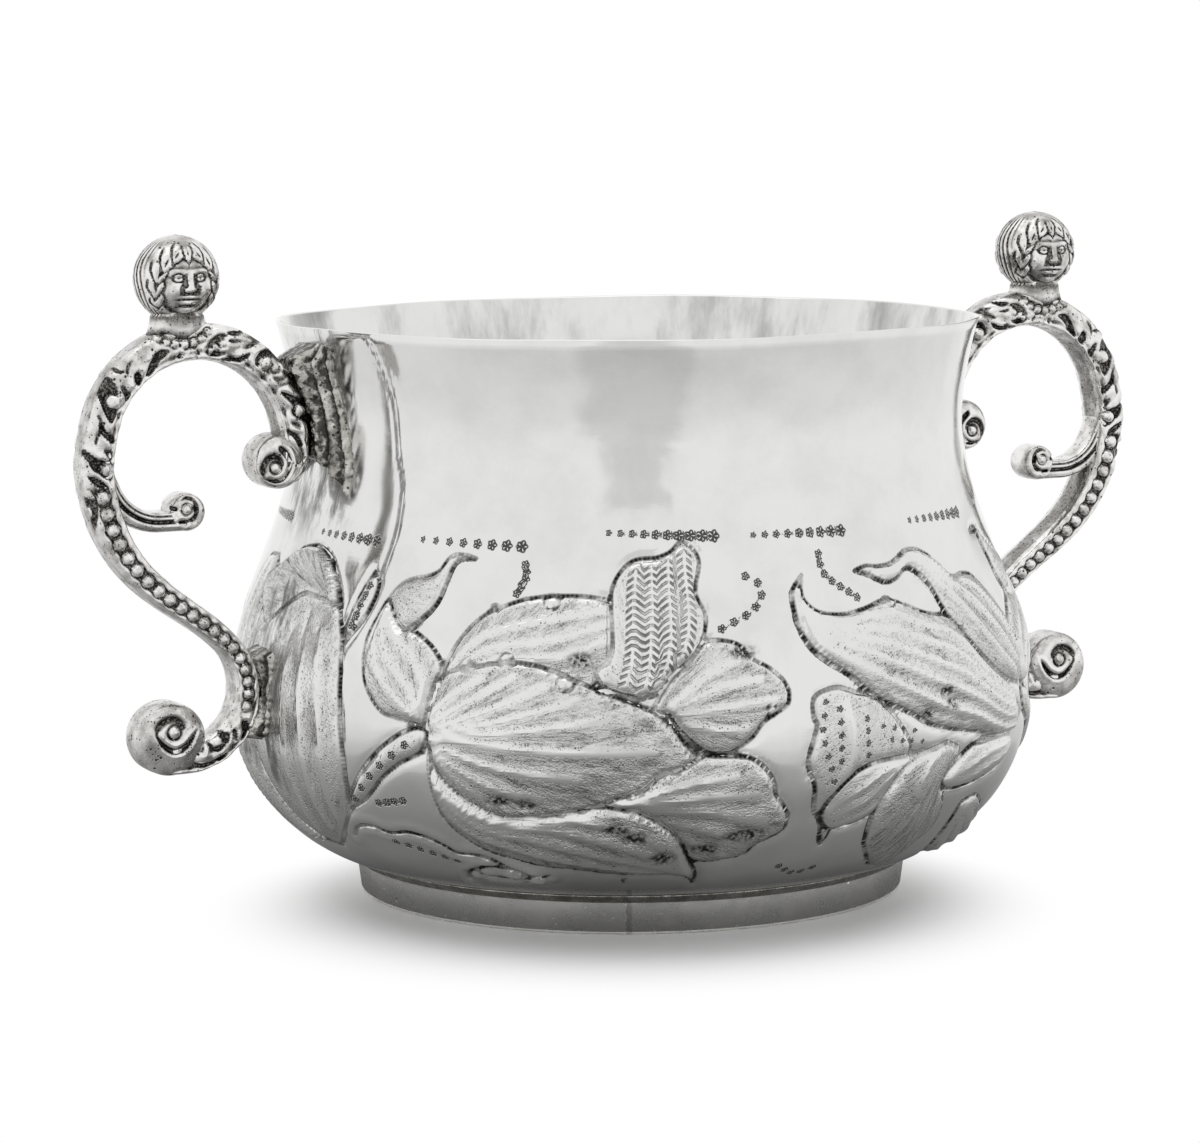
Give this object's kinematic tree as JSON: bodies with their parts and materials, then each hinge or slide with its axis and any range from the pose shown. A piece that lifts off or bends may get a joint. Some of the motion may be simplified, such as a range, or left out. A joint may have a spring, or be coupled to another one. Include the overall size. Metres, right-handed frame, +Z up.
{
  "type": "caudle cup",
  "caption": "Bellied silver drinking cup with a waisted neck, low ring foot, chased flowers and cast scroll handles topped by small heads.",
  "frame": {"origin": "middle of the foot ring's base, on the table", "axes": "+Z up, +X towards the right handle, the front panel faces -Y"},
  "size_m": [0.1834, 0.1284, 0.1051],
  "materials": {
    "raised_silver": "hand-polished silver sheet, dark oxide left in the chased lines",
    "cast_silver": "cast silver, worn bright on the high parts and dark in the pits",
    "solder": "rough grey silver solder"
  },
  "bodies": {
    "root": {"bowl": "raised_silver", "foot_ring": "raised_silver", "foot_solder": "solder", "left_handle_scroll": "cast_silver", "left_spur_scroll": "cast_silver", "left_head": "cast_silver", "left_upper_solder": "solder", "left_lower_solder": "solder", "right_handle_scroll": "cast_silver", "right_spur_scroll": "cast_silver", "right_head": "cast_silver", "right_upper_solder": "solder", "right_lower_solder": "solder"}
  },
  "joints": []
}
